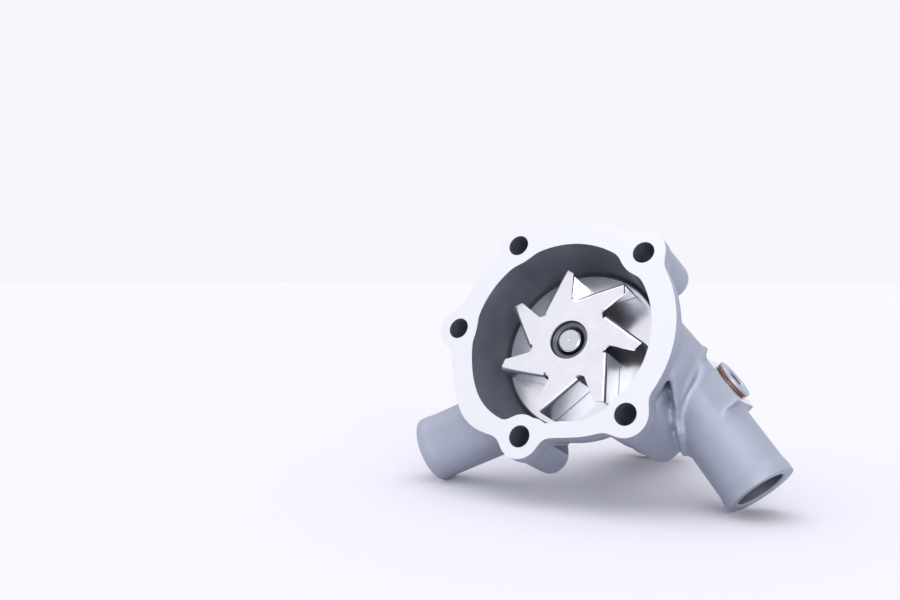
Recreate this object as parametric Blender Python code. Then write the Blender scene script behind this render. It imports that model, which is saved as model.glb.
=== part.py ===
"""Engine water pump: cast housing, bladed impeller, face seal and two-row shaft bearing.

The pump frame has its origin where the shaft axis meets the mounting face,
x to the right and y down as seen from the engine side, z into the pump along the shaft.
PLACE carries that frame to the world, where the pump stands on a flat floor at Z = 0.
"""
import math

import bmesh
import bpy
from mathutils import Matrix, Vector

MM = 0.001
GAP = 0.3                       # running and seating gap between neighbouring pieces

# Standing pose
SHAFT_DIP = math.radians(23.03)  # shaft falls below the level toward the pulley
ROLL = math.radians(15.88)       # pump turned about its shaft on the floor
FACE_HEIGHT = 67.78              # centre of the mounting face above the floor
SHIFT_X = -9.59                    # world X of the mounting face centre
SHIFT_Y = -49.43                  # world Y of the mounting face centre

# Mounting flange: x, y, lobe radius, inner relief radius, boss length, boss radius
BOLTS = (
    (-45.8, -12.2, 9.0, 8.3, 30.0, 8.3),
    (-15.2, -43.7, 9.0, 8.3, 30.0, 8.3),
    (39.3, -24.4, 9.2, 9.4, 30.0, 8.6),
    (25.1, 40.4, 9.3, 7.0, 40.0, 8.6),
    (-19.5, 41.0, 9.2, 9.0, 29.5, 8.2),
)
BOLT_HOLE_R = 4.5
FLANGE_R = 49.6
FLANGE_T = 7.0
FLANGE_SWELLS = ((270.0, 40.0, -2.1), (222.0, 20.0, -0.8), (98.0, 24.0, -5.0),
                 (146.0, 16.0, 3.2))

# Bowl: a near circle with the discharge bulge and the cut-water tongue
BOWL_R = 39.5
BOWL_SHIFT = (0.1, 1.2)
BOWL_SWELLS = ((144.0, 24.0, 2.6), (95.0, 14.0, -2.6))
TONGUE = (-13.0, 40.0, 5.0)
BOWL_WALL = 4.6
BOWL_FLOOR_R = 35.8
BOWL_DEPTH = 28.0
BOWL_BACK = 33.0

# Bearing snout
SNOUT_R = 23.2
SNOUT_END = 103.0
BEARING_Z = (54.0, 100.0)
BEARING_R = 19.05
SHAFT_R = 7.95
SEAL_BORE_R = 18.0
SEAL_BORE_END = 46.0

# Hose stubs: end centre, direction, inward length
STUB_R = 14.0
STUB_BORE_R = 10.0
BEAD_R = 14.8
LEFT_END = (-73.6, 30.5, 24.6)
LEFT_ANGLE = 168.2
LEFT_LEN = 44.0
RIGHT_END = (61.86, 66.69, 37.50)
RIGHT_ANGLE = 63.36
RIGHT_TILT = 7.39
RIGHT_LEN = 62.0
NECK_R = 14.9
NECK_FACE = 41.97                # neck mouth plane, back from the stub end along its axis
NECK_NORMAL = (0.9339, 0.3133, -0.1724)
# Fold where the fairing meets the neck
CREST = ((50.24, 8.77, 30.82), (49.32, 19.62, 18.63), (46.46, 25.95, 16.40), (42.55, 31.66, 16.46),
         (38.51, 36.33, 18.47), (37.89, 43.59, 22.34), (36.13, 49.50, 32.12))
PAD_H = 15.6
PAD_T = -39.7
PAD_TURN = 6.0                   # the pad leans this far toward the mounting face
SEAT_GAP = 0.25
PLUG_R = 8.2
PLUG_STEM_R = 6.4

# Impeller
STAR_Z = 10.8
SHEET = 1.2
ARMS = 7
ARM_PHASE = -79.3
NOTCH_R = 17.8
TIP_R = 32.4
HEEL_R = 29.7
EYE_R = 8.4
DISC_Z = 24.9
DISC_R = 34.6
SHAFT_TIP_R = 5.0

# Pulley hub
HUB_R = 22.2
HUB_FACE = 121.0
HUB_BOLT_R = 16.5


def place_matrix():
    """Pump frame (mm) to world frame (m)."""
    cd, sd = math.cos(SHAFT_DIP), math.sin(SHAFT_DIP)
    cr, sr = math.cos(ROLL), math.sin(ROLL)
    rows = (
        (cr, sr, 0.0, SHIFT_X),
        (sr * sd, -cr * sd, cd, SHIFT_Y),
        (sr * cd, -cr * cd, -sd, FACE_HEIGHT),
        (0.0, 0.0, 0.0, 1.0),
    )
    return Matrix(rows)


PLACE = place_matrix()
ROTATION = PLACE.to_3x3().to_4x4()
ORIGIN = Matrix.Translation(PLACE.translation * MM)


def swell(theta, swells):
    """Sum of smooth bumps (centre angle, half width, height) at an angle in degrees."""
    total = 0.0
    for centre, width, height in swells:
        off = (theta - centre + 180.0) % 360.0 - 180.0
        total += height * math.exp(-((off / width) ** 2))
    return total


def soft_min(a, b, k):
    h = max(k - abs(a - b), 0.0) / k
    return min(a, b) - h * h * k * 0.25


def polar(theta, r):
    a = math.radians(theta)
    return r * math.cos(a), r * math.sin(a)


def bowl_radius(theta):
    a = math.radians(theta)
    base = BOWL_R + BOWL_SHIFT[0] * math.cos(a) + BOWL_SHIFT[1] * math.sin(a)
    return base + swell(theta, BOWL_SWELLS)


def flange_level(theta, r):
    """Negative inside the flange outline."""
    x, y = polar(theta, r)
    level = r - FLANGE_R - swell(theta, FLANGE_SWELLS)
    for bolt in BOLTS:
        level = soft_min(level, math.hypot(x - bolt[0], y - bolt[1]) - bolt[2], 4.0)
    return level


def bowl_level(theta, r):
    """Negative inside the open bowl."""
    x, y = polar(theta, r)
    solid = bowl_radius(theta) - r
    for bolt in BOLTS:
        solid = soft_min(solid, math.hypot(x - bolt[0], y - bolt[1]) - bolt[3], 3.0)
    solid = soft_min(solid, math.hypot(x - TONGUE[0], y - TONGUE[1]) - TONGUE[2], 1.2)
    return -solid


def outline(level, steps, inner=20.0, outer=75.0):
    """Closed polar outline where the level changes sign."""
    points = []
    for i in range(steps):
        theta = 360.0 * i / steps
        lo, hi = inner, outer
        for _ in range(40):
            mid = 0.5 * (lo + hi)
            if level(theta, mid) < 0.0:
                lo = mid
            else:
                hi = mid
        points.append(polar(theta, lo))
    return points


def frame(origin, axis, up=(0.0, 0.0, -1.0)):
    """Matrix with local z along the axis and local x toward 'up'."""
    z = Vector(axis).normalized()
    x = Vector(up)
    x = (x - z * x.dot(z)).normalized()
    y = z.cross(x)
    m = Matrix((x, y, z)).transposed().to_4x4()
    m.translation = Vector(origin)
    return m


def new_object(name, bm):
    bmesh.ops.remove_doubles(bm, verts=bm.verts, dist=1e-4)
    bmesh.ops.recalc_face_normals(bm, faces=bm.faces)
    mesh = bpy.data.meshes.new(name)
    bm.to_mesh(mesh)
    bm.free()
    obj = bpy.data.objects.new(name, mesh)
    bpy.context.scene.collection.objects.link(obj)
    return obj


def loft(name, rings):
    """Closed body through rings of equal point count, each ring given as 3D points."""
    bm = bmesh.new()
    first = bm.faces.new([bm.verts.new(p) for p in rings[0]])
    face = first
    for ring in rings[1:]:
        out = bmesh.ops.extrude_face_region(bm, geom=[face])
        new_face = [f for f in out["geom"] if isinstance(f, bmesh.types.BMFace)][0]
        order = [loop.vert for loop in new_face.loops]
        for vert, point in zip(order, ring):
            vert.co = Vector(point)
        if face is not first:
            bmesh.ops.delete(bm, geom=[face], context="FACES_ONLY")
        face = new_face
    return new_object(name, bm)


def prism(name, points, z0, z1):
    lower = [(x, y, z0) for x, y in points]
    upper = [(x, y, z1) for x, y in points]
    return loft(name, [lower, upper])


def revolve(name, profile, steps, matrix=None):
    """Turned body from a closed (radius, height) profile about local z."""
    bm = bmesh.new()
    verts = [bm.verts.new((r, 0.0, z)) for r, z in profile]
    edges = []
    for i in range(len(verts)):
        if profile[i][0] < 1e-6 and profile[(i + 1) % len(verts)][0] < 1e-6:
            continue
        edges.append(bm.edges.new((verts[i], verts[(i + 1) % len(verts)])))
    bmesh.ops.spin(bm, geom=verts + edges, cent=(0, 0, 0), axis=(0, 0, 1),
                   angle=2 * math.pi, steps=steps, use_merge=True)
    if matrix is not None:
        bmesh.ops.transform(bm, matrix=matrix, verts=bm.verts)
    return new_object(name, bm)


def cylinder(name, r, z0, z1, steps, matrix=None):
    return revolve(name, [(0, z0), (r, z0), (r, z1), (0, z1)], steps, matrix)


def hull(name, points):
    bm = bmesh.new()
    for p in points:
        bm.verts.new(p)
    out = bmesh.ops.convex_hull(bm, input=bm.verts)
    loose = set(out["geom_interior"]) | set(out["geom_unused"])
    bmesh.ops.delete(bm, geom=[v for v in loose if isinstance(v, bmesh.types.BMVert)],
                     context="VERTS")
    return new_object(name, bm)


def circle(matrix, r, z, steps):
    points = []
    for i in range(steps):
        a = 2 * math.pi * i / steps
        points.append(matrix @ Vector((r * math.cos(a), r * math.sin(a), z)))
    return points


def combine(target, tool, operation):
    mod = target.modifiers.new("cut", "BOOLEAN")
    mod.operation = operation
    mod.solver = "EXACT"
    mod.use_hole_tolerant = True
    mod.object = tool
    bpy.context.view_layer.update()
    graph = bpy.context.evaluated_depsgraph_get()
    mesh = bpy.data.meshes.new_from_object(target.evaluated_get(graph))
    target.modifiers.clear()
    target.data = mesh
    bpy.data.objects.remove(tool)


def material(name, colour, roughness, metallic):
    mat = bpy.data.materials.new(name)
    mat.use_nodes = True
    shader = mat.node_tree.nodes["Principled BSDF"]
    shader.inputs["Base Color"].default_value = (*colour, 1.0)
    shader.inputs["Roughness"].default_value = roughness
    shader.inputs["Metallic"].default_value = metallic
    mat.diffuse_color = (*colour, 1.0)
    return mat


MATERIALS = {
    "cast_aluminium": ((0.42, 0.45, 0.52), 0.6, 0.5),
    "pressed_steel": ((0.78, 0.79, 0.80), 0.28, 1.0),
    "bearing_steel": ((0.72, 0.72, 0.73), 0.2, 1.0),
    "hub_steel": ((0.30, 0.30, 0.31), 0.4, 1.0),
    "cage_nylon": ((0.45, 0.32, 0.16), 0.55, 0.0),
    "nitrile_rubber": ((0.02, 0.02, 0.022), 0.7, 0.0),
    "seal_brass": ((0.62, 0.45, 0.20), 0.35, 1.0),
    "spring_steel": ((0.55, 0.55, 0.56), 0.3, 1.0),
    "seal_carbon": ((0.03, 0.03, 0.03), 0.5, 0.0),
    "seal_ceramic": ((0.85, 0.82, 0.74), 0.25, 0.0),
    "plug_steel": ((0.62, 0.63, 0.66), 0.35, 1.0),
    "washer_copper": ((0.75, 0.38, 0.22), 0.35, 1.0),
}


def finish(obj, slot, smooth=35.0):
    """Scale to metres, set the pump frame as the object frame and give the material."""
    mesh = obj.data
    mesh.transform(Matrix.Scale(MM, 4))
    obj.matrix_world = ORIGIN @ ROTATION
    mesh.materials.clear()
    mesh.materials.append(MADE[slot])
    for poly in mesh.polygons:
        poly.use_smooth = True
    mesh.set_sharp_from_angle(angle=math.radians(smooth))
    return obj


def stub_profile(length):
    return [(0, -length), (STUB_R, -length), (STUB_R, -5.4), (BEAD_R - 0.2, -4.2),
            (BEAD_R, -2.9), (BEAD_R - 0.15, -1.6), (STUB_R, 0.0), (0, 0.0)]


def closing(depth):
    """How far the volute section has closed to the round bowl floor, 0 to 1."""
    t = min(max((depth - 5.0) / 21.0, 0.0), 1.0)
    return t * t * (3.0 - 2.0 * t)


def mouth_ring(grow, offset, steps):
    """Section of the neck cylinder by the mouth plane, grown and offset along its normal."""
    normal = Vector(NECK_NORMAL)
    axis = RIGHT.to_3x3() @ Vector((0, 0, 1))
    centre = RIGHT @ Vector((0, 0, -NECK_FACE))
    ring = []
    for p in circle(RIGHT, NECK_R + grow, -NECK_FACE, steps):
        slide = (centre - p).dot(normal) / axis.dot(normal)
        ring.append(p + axis * slide + normal * offset)
    return ring


def build_housing():
    steps = 180
    land = outline(flange_level, steps)
    bowl = outline(bowl_level, steps, outer=50.0)
    body = prism("pump_housing", land, 0.0, FLANGE_T)

    wall = []
    for depth, extra in ((3.0, 0.0), (9.0, 0.0), (17.0, 0.0), (26.0, 0.6), (30.5, 1.8),
                         (BOWL_BACK, 4.6)):
        ring = []
        for i in range(90):
            theta = 4.0 * i
            front = bowl_radius(theta)
            r = front + (BOWL_FLOOR_R - front) * closing(depth) + BOWL_WALL - extra
            ring.append((*polar(theta, r), depth))
        wall.append(ring)
    combine(body, loft("wall", wall), "UNION")

    nose = [(0, 26.0), (36.0, 26.0), (36.0, BOWL_BACK), (30.0, 40.0), (26.5, 48.0),
            (SNOUT_R + 1.0, 56.0), (SNOUT_R, SNOUT_END - 1.5), (SNOUT_R - 1.5, SNOUT_END),
            (0, SNOUT_END)]
    combine(body, revolve("nose", nose, 48), "UNION")

    for x, y, _, _, length, r in BOLTS:
        spot = Matrix.Translation((x, y, 0.0))
        boss = [(0, 2.0), (r, 2.0), (r - 0.3, length - 2.2), (r - 1.1, length - 0.6),
                (r - 2.8, length), (0, length)]
        combine(body, revolve("boss", boss, 26, spot), "UNION")

    combine(body, revolve("stub", stub_profile(LEFT_LEN), 40, LEFT), "UNION")
    combine(body, revolve("pipe", stub_profile(RIGHT_LEN), 40, RIGHT), "UNION")

    neck = mouth_ring(0.0, -0.3, 36)
    neck += circle(RIGHT, 14.6, -58.7, 34)
    neck += circle(RIGHT, 9.0, -64.5, 24)
    combine(body, hull("neck", neck), "UNION")
    spot = Matrix.Translation((BOLTS[3][0], BOLTS[3][1], 0.0))
    web = circle(spot, 7.6, 6.5, 20) + circle(spot, 6.4, 38.0, 20)
    web += mouth_ring(-2.2, -2.0, 30)
    combine(body, hull("web", web), "UNION")
    fairing = []
    for x, y, z in ((46.8, 5.2, 6.5), (42.5, 25.5, 6.5), (42.2, -2.5, 26.0)):
        fairing += circle(Matrix.Translation((x, y, 0.0)), 1.4, z, 8)
    fairing += [Vector(p) for p in CREST]
    fairing += [p for p in mouth_ring(-1.2, -1.5, 26) if p.z > 33.0]
    combine(body, hull("fairing", fairing), "UNION")

    block = []
    for along, across, high in ((-10.6, 10.2, PAD_H), (10.6, 10.2, PAD_H), (-9.0, 13.2, 1.0),
                                (13.2, 11.8, 2.0)):
        for side in (-1, 1):
            block.append(PAD @ Vector((along, side * across, high)))
    combine(body, hull("block", block), "UNION")

    cut = []
    for depth, inset in ((-1.0, 0.0), (6.0, 0.0), (11.0, 0.0), (16.0, 0.0), (21.0, 0.0),
                         (26.2, 0.0), (27.4, 0.8), (BOWL_DEPTH, 2.6)):
        ring = []
        for x, y in bowl[::2]:
            front = math.hypot(x, y)
            k = (front + (BOWL_FLOOR_R - front) * closing(depth) - inset) / front
            ring.append((x * k, y * k, depth))
        cut.append(ring)
    combine(body, loft("pocket", cut), "DIFFERENCE")

    core = [(0, 20.0), (SEAL_BORE_R + GAP, 20.0), (SEAL_BORE_R + GAP, SEAL_BORE_END),
            (13.0, SEAL_BORE_END), (13.0, BEARING_Z[0] - GAP),
            (BEARING_R + GAP, BEARING_Z[0] - GAP), (BEARING_R + GAP, SNOUT_END + 2.0),
            (0, SNOUT_END + 2.0)]
    combine(body, revolve("core", core, 48), "DIFFERENCE")

    for x, y, _, _, length, _ in BOLTS:
        spot = Matrix.Translation((x, y, 0.0))
        combine(body, cylinder("hole", BOLT_HOLE_R, -2.0, length + 12.0, 24, spot), "DIFFERENCE")

    combine(body, cylinder("bore", STUB_BORE_R, 5.0 - LEFT_LEN, 2.0, 36, LEFT), "DIFFERENCE")
    combine(body, cylinder("bore", STUB_BORE_R, 1.0 - RIGHT_LEN, 2.0, 36, RIGHT), "DIFFERENCE")
    combine(body, cylinder("port", PLUG_STEM_R + GAP, 4.0, PAD_H + 6.0, 26, PAD), "DIFFERENCE")

    down = frame((0, 0, 0.5 * (SEAL_BORE_END + BEARING_Z[0])), (-math.sin(ROLL), math.cos(ROLL), 0))
    combine(body, cylinder("weep", 2.0, 10.0, 45.0, 20, down), "DIFFERENCE")
    return finish(body, "cast_aluminium")


def star_outline():
    """Seven swept arms; returns the outline and the swept edge of each arm."""
    points = []
    edges = []
    pitch = 360.0 / ARMS
    for k in range(ARMS):
        a = ARM_PHASE + pitch * k
        root = polar(a + 4.0, NOTCH_R + 0.4)
        tip = polar(a + 42.4, TIP_R)
        heel = polar(a + pitch - 1.8, HEEL_R)
        foot = polar(a + pitch - 2.6, NOTCH_R + 0.3)
        sole = polar(a + pitch + 0.6, NOTCH_R - 0.6)
        points += [root, tip, heel, foot, sole]
        edges.append((root, tip))
    return points, edges


def build_star():
    points, edges = star_outline()
    body = prism("impeller_vane_plate", points, STAR_Z, STAR_Z + SHEET)
    for (x0, y0), (x1, y1) in edges:
        run = Vector((x1 - x0, y1 - y0, 0.0))
        length = run.length
        inward = Vector((-run.y, run.x, 0.0)).normalized()
        start = Vector((x0, y0, 0.0))
        corners = []
        for t, d in ((0.6, 0.04), (length - 0.3, 0.04), (length - 0.3, SHEET), (0.6, SHEET)):
            corners.append(start + run.normalized() * t + inward * d)
        vane = prism("vane", [(c.x, c.y) for c in corners], STAR_Z + 0.4, DISC_Z - GAP)
        combine(body, vane, "UNION")
    combine(body, cylinder("eye", EYE_R, STAR_Z - 2, STAR_Z + 4, 48), "DIFFERENCE")
    return finish(body, "pressed_steel", 30.0)


def ring_part(name, slot, profile, steps=36, matrix=None):
    return finish(revolve(name, profile, steps, matrix), slot)


def box_ring(r0, r1, z0, z1):
    return [(r0, z0), (r1, z0), (r1, z1), (r0, z1)]


def build_rotor():
    hub_front = STAR_Z + SHEET + GAP
    ring_part("impeller_hub", "hub_steel",
              [(SHAFT_TIP_R + GAP, hub_front + 1.6), (6.4, hub_front), (12.2, hub_front),
               (12.2, DISC_Z - GAP), (8.7, DISC_Z - GAP), (8.7, DISC_Z + SHEET + 1.4),
               (SHAFT_TIP_R + GAP, DISC_Z + SHEET + 1.4)])
    ring_part("impeller_back_disc", "pressed_steel",
              [(9.0, DISC_Z), (DISC_R - 0.3, DISC_Z), (DISC_R, DISC_Z + 0.3),
               (DISC_R, DISC_Z + SHEET), (9.0, DISC_Z + SHEET)], 72)
    step = DISC_Z + SHEET + 1.7
    groove = []
    for z in BALL_ROWS:
        groove += [(SHAFT_R, z - 2.4), (SHAFT_R - 0.8, z - 0.8), (SHAFT_R - 0.8, z + 0.8),
                   (SHAFT_R, z + 2.4)]
    ring_part("pump_shaft", "bearing_steel",
              [(0, STAR_Z + 0.4), (SHAFT_TIP_R - 0.6, STAR_Z + 0.4),
               (SHAFT_TIP_R, STAR_Z + 1.0), (SHAFT_TIP_R, step), (SHAFT_R, step)] + groove
              + [(SHAFT_R, HUB_FACE - 1.6), (SHAFT_R - 0.8, HUB_FACE - 0.8),
                 (0, HUB_FACE - 0.8)], 40)
    hub = revolve("pulley_hub",
                  [(SHAFT_R + GAP, SNOUT_END + 1.5), (12.6, SNOUT_END + 1.5),
                   (13.4, SNOUT_END + 2.3), (13.4, HUB_FACE - 8.0), (15.0, HUB_FACE - 5.6),
                   (HUB_R - 0.5, HUB_FACE - 5.6), (HUB_R, HUB_FACE - 5.1),
                   (HUB_R, HUB_FACE - 0.2), (HUB_R - 0.2, HUB_FACE), (SHAFT_R + GAP, HUB_FACE)],
                  48)
    for k in range(4):
        x, y = polar(45.0 + 90.0 * k, HUB_BOLT_R + 1.2)
        spot = Matrix.Translation((x, y, 0.0))
        combine(hub, cylinder("tap", 2.6, HUB_FACE - 12, HUB_FACE + 2, 14, spot), "DIFFERENCE")
    finish(hub, "hub_steel")
    ring_part("slinger_ring", "nitrile_rubber",
              [(SHAFT_R + GAP, 48.2), (9.4, 48.2), (11.8, 49.4), (11.8, 50.2), (9.4, 51.4),
               (SHAFT_R + GAP, 51.4)])


def build_seal():
    ring_part("seat_rubber_cup", "nitrile_rubber",
              [(SHAFT_R + GAP, 29.0), (15.2, 29.0), (15.2, 33.6), (14.4, 33.6),
               (14.4, 30.2), (9.5, 30.2), (9.5, 34.6), (SHAFT_R + GAP, 34.6)])
    ring_part("seal_ceramic_seat", "seal_ceramic", box_ring(9.8, 14.1, 30.5, 35.0))
    ring_part("seal_carbon_ring", "seal_carbon",
              [(9.8, 35.3), (12.4, 35.3), (12.4, 37.0), (13.6, 37.0), (13.6, 39.4), (9.8, 39.4)])
    ring_part("seal_bellows", "nitrile_rubber",
              [(9.4, 39.7), (13.6, 39.7), (13.6, 40.5), (10.8, 41.2), (12.0, 42.2),
               (10.8, 43.2), (12.6, 44.2), (12.6, 45.0), (9.4, 45.0), (9.4, 43.8),
               (10.6, 43.2), (9.4, 42.2), (9.8, 41.2), (9.4, 40.6)])
    ring_part("seal_case", "seal_brass",
              [(9.2, 45.3), (16.9, 45.3), (16.9, 36.2), (18.0, 36.2), (18.0, 45.9),
               (9.2, 45.9)])


def build_spring():
    """Coil spring of the face seal, flat-ended open coil."""
    turns, wire, radius = 2.5, 0.55, 15.2
    z0, z1 = 37.2, 44.2
    steps, sides = 60, 6
    rings = []
    for i in range(steps + 1):
        t = i / steps
        a = 2 * math.pi * turns * t
        centre = Vector((radius * math.cos(a), radius * math.sin(a), z0 + (z1 - z0) * t))
        tangent = Vector((-radius * math.sin(a), radius * math.cos(a),
                          (z1 - z0) / (2 * math.pi * turns)))
        spot = frame(centre, tangent, (0, 0, 1))
        rings.append(circle(spot, wire, 0.0, sides))
    finish(loft("seal_spring", rings), "spring_steel", 60.0)


BALL_ROWS = (64.0, 90.0)
BALL_R = 3.6
BALL_PITCH_R = 11.4
BALLS = 7


def build_bearing():
    z0, z1 = BEARING_Z
    race = [(BEARING_R, z0), (BEARING_R, z1)]
    race += [(16.6, z1), (16.6, z1 - 3.4), (14.7, z1 - 3.4)]
    for z in reversed(BALL_ROWS):
        race += [(14.7, z + 2.0), (15.4, z + 0.8), (15.4, z - 0.8), (14.7, z - 2.0)]
    race += [(14.7, z0 + 3.4), (16.6, z0 + 3.4), (16.6, z0)]
    ring_part("bearing_outer_race", "bearing_steel", race, 44)
    for name, a in (("bearing_seal_front", z0 + 0.8), ("bearing_seal_rear", z1 - 2.6)):
        ring_part(name, "nitrile_rubber",
                  [(SHAFT_R + GAP, a + 0.5), (9.6, a), (16.3, a), (16.3, a + 1.8),
                   (9.6, a + 1.8), (SHAFT_R + GAP, a + 1.3)])
    for row, z in zip(("front", "rear"), BALL_ROWS):
        cage = revolve("bearing_cage_" + row, box_ring(10.2, 13.4, z - 4.8, z + 4.8), 28)
        for k in range(BALLS):
            x, y = polar(360.0 * k / BALLS, BALL_PITCH_R)
            pocket = bmesh.new()
            bmesh.ops.create_uvsphere(pocket, u_segments=10, v_segments=7,
                                      radius=BALL_R + 0.42)
            bmesh.ops.translate(pocket, verts=pocket.verts, vec=(x, y, z))
            combine(cage, new_object("pocket", pocket), "DIFFERENCE")
        finish(cage, "cage_nylon")
        for k in range(BALLS):
            x, y = polar(360.0 * k / BALLS, BALL_PITCH_R)
            ball = bmesh.new()
            bmesh.ops.create_uvsphere(ball, u_segments=12, v_segments=8, radius=BALL_R)
            bmesh.ops.translate(ball, verts=ball.verts, vec=(x, y, z))
            finish(new_object("ball_%s_%d" % (row, k + 1), ball), "bearing_steel", 80.0)


def build_plug():
    top = PAD_H + SEAT_GAP
    ring_part("plug_washer", "washer_copper",
              box_ring(PLUG_STEM_R + GAP, PLUG_R - 0.2, top, top + 0.7), 32, PAD)
    head = top + 0.7 + SEAT_GAP
    plug = revolve("port_plug",
                   [(0, PAD_H - 6.0), (PLUG_STEM_R, PAD_H - 6.0), (PLUG_STEM_R, head),
                    (PLUG_R, head), (PLUG_R, head + 0.8), (PLUG_R - 0.4, head + 1.2),
                    (6.6, head + 1.2), (6.3, head + 0.9), (0, head + 0.9)], 32, PAD)
    combine(plug, cylinder("socket", 3.4, head - 3.0, head + 4.0, 6, PAD), "DIFFERENCE")
    finish(plug, "plug_steel")


def clear_scene():
    for obj in list(bpy.data.objects):
        bpy.data.objects.remove(obj)


def direction(angle, tilt):
    a, b = math.radians(angle), math.radians(tilt)
    return Vector((math.cos(b) * math.cos(a), math.cos(b) * math.sin(a), math.sin(b)))


LEFT = frame(LEFT_END, direction(LEFT_ANGLE, 0.0))
RIGHT_DIR = direction(RIGHT_ANGLE, RIGHT_TILT)
RIGHT = frame(RIGHT_END, RIGHT_DIR)
PAD_SIDE = direction(RIGHT_ANGLE - 90.0, 0.0)
PAD_DIR = (PAD_SIDE * math.cos(math.radians(PAD_TURN))
           + RIGHT_DIR.cross(PAD_SIDE) * math.sin(math.radians(PAD_TURN)))
PAD = frame(Vector(RIGHT_END) + RIGHT_DIR * PAD_T, PAD_DIR, RIGHT_DIR.cross(PAD_DIR))

clear_scene()
MADE = {name: material(name, *values) for name, values in MATERIALS.items()}
build_housing()
build_star()
build_rotor()
build_seal()
build_spring()
build_bearing()
build_plug()
bpy.context.view_layer.update()
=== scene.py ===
import math

import bmesh
import bpy
from mathutils import Matrix, Vector


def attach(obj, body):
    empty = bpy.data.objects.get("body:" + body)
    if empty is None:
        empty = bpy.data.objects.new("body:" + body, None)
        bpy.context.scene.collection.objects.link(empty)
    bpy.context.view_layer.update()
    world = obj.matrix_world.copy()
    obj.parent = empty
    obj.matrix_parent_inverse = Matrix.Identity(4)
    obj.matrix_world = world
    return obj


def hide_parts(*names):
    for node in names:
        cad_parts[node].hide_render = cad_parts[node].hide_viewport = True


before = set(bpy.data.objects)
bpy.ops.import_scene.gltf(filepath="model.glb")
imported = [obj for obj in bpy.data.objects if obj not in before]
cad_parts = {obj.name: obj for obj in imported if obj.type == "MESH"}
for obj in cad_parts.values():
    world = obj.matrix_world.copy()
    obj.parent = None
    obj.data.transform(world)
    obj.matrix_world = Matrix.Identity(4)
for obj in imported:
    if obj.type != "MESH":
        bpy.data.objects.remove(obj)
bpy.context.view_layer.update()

scene = bpy.context.scene
print("frame loaded:", len(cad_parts), "nodes")

# The pump frame: origin on the shaft where it meets the mounting face, x right and
# y down seen from the engine side, z into the pump. Sizes below are millimetres in it.
stance = {"dip": 23.03, "roll": 15.88, "origin": (-9.59, -49.43, 67.78)}


def pumpToWorld():
    cd, sd = math.cos(math.radians(stance["dip"])), math.sin(math.radians(stance["dip"]))
    cr, sr = math.cos(math.radians(stance["roll"])), math.sin(math.radians(stance["roll"]))
    ox, oy, oz = stance["origin"]
    return Matrix.Scale(0.001, 4) @ Matrix((
        (cr, sr, 0.0, ox), (sr * sd, -cr * sd, cd, oy), (sr * cd, -cr * cd, -sd, oz),
        (0.0, 0.0, 0.0, 1.0)))


place = pumpToWorld()


def polar(angle, radius):
    a = math.radians(angle)
    return radius * math.cos(a), radius * math.sin(a)


def direction(angle, tilt=0.0):
    a, b = math.radians(angle), math.radians(tilt)
    return Vector((math.cos(b) * math.cos(a), math.cos(b) * math.sin(a), math.sin(b)))


def axisFrame(origin, axis, up=(0.0, 0.0, -1.0)):  # local z on the axis, local x toward up
    z = Vector(axis).normalized()
    x = Vector(up)
    x = (x - z * x.dot(z)).normalized()
    m = Matrix((x, z.cross(x), z)).transposed().to_4x4()
    m.translation = Vector(origin)
    return m


# ---- mesh helpers

def turned(bm, profile, steps, matrix=None):  # closed (radius, height) profile spun about z
    verts = [bm.verts.new((r, 0.0, z)) for r, z in profile]
    edges = []
    for i, vert in enumerate(verts):
        j = (i + 1) % len(verts)
        if profile[i][0] > 1e-6 or profile[j][0] > 1e-6:
            edges.append(bm.edges.new((vert, verts[j])))
    bmesh.ops.spin(bm, geom=verts + edges, cent=(0, 0, 0), axis=(0, 0, 1),
                   angle=2 * math.pi, steps=steps, use_merge=True)
    shell = set(verts)
    for edge in edges:
        for face in edge.link_faces:
            shell.update(face.verts)
    grow = list(shell)
    while grow:  # everything the spin joined on
        vert = grow.pop()
        for edge in vert.link_edges:
            other = edge.other_vert(vert)
            if other not in shell:
                shell.add(other)
                grow.append(other)
    if matrix is not None:
        bmesh.ops.transform(bm, matrix=matrix, verts=list(shell))


def lofted(bm, count, rings, matrix=None):  # each ring: function index -> point
    disc = bmesh.ops.create_circle(bm, cap_ends=True, segments=count, radius=1.0)["verts"]
    face = disc[0].link_faces[0]
    first = face
    everything = list(disc)
    for k, ring in enumerate(rings):
        if k:
            out = bmesh.ops.extrude_face_region(bm, geom=[face])["geom"]
            fresh = [g for g in out if isinstance(g, bmesh.types.BMFace)][0]
            if face is not first:
                bmesh.ops.delete(bm, geom=[face], context="FACES_ONLY")
            face = fresh
        for i, loop in enumerate(face.loops):
            loop.vert.co = Vector(ring(i))
            everything.append(loop.vert)
    if matrix is not None:
        bmesh.ops.transform(bm, matrix=matrix, verts=list(set(everything)))


def hullOver(bm, verts):  # the verts given are replaced by their convex skin
    spots = [v.co.copy() for v in verts]
    bmesh.ops.delete(bm, geom=list(set(verts)), context="VERTS")
    fresh = [bm.verts.new(p) for p in spots]
    out = bmesh.ops.convex_hull(bm, input=fresh)
    loose = {g for g in out["geom_interior"] + out["geom_unused"]
             if isinstance(g, bmesh.types.BMVert)}
    bmesh.ops.delete(bm, geom=list(loose), context="VERTS")


def meshObject(bm, name):
    bmesh.ops.remove_doubles(bm, verts=bm.verts, dist=1e-4)
    bmesh.ops.recalc_face_normals(bm, faces=bm.faces)
    mesh = bpy.data.meshes.new(name)
    bm.to_mesh(mesh)
    bm.free()
    obj = bpy.data.objects.new(name, mesh)
    scene.collection.objects.link(obj)
    return obj


def applyAll(obj):
    bpy.context.view_layer.update()
    graph = bpy.context.evaluated_depsgraph_get()
    mesh = bpy.data.meshes.new_from_object(obj.evaluated_get(graph))
    obj.modifiers.clear()
    old = obj.data
    obj.data = mesh
    bpy.data.meshes.remove(old)


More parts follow.
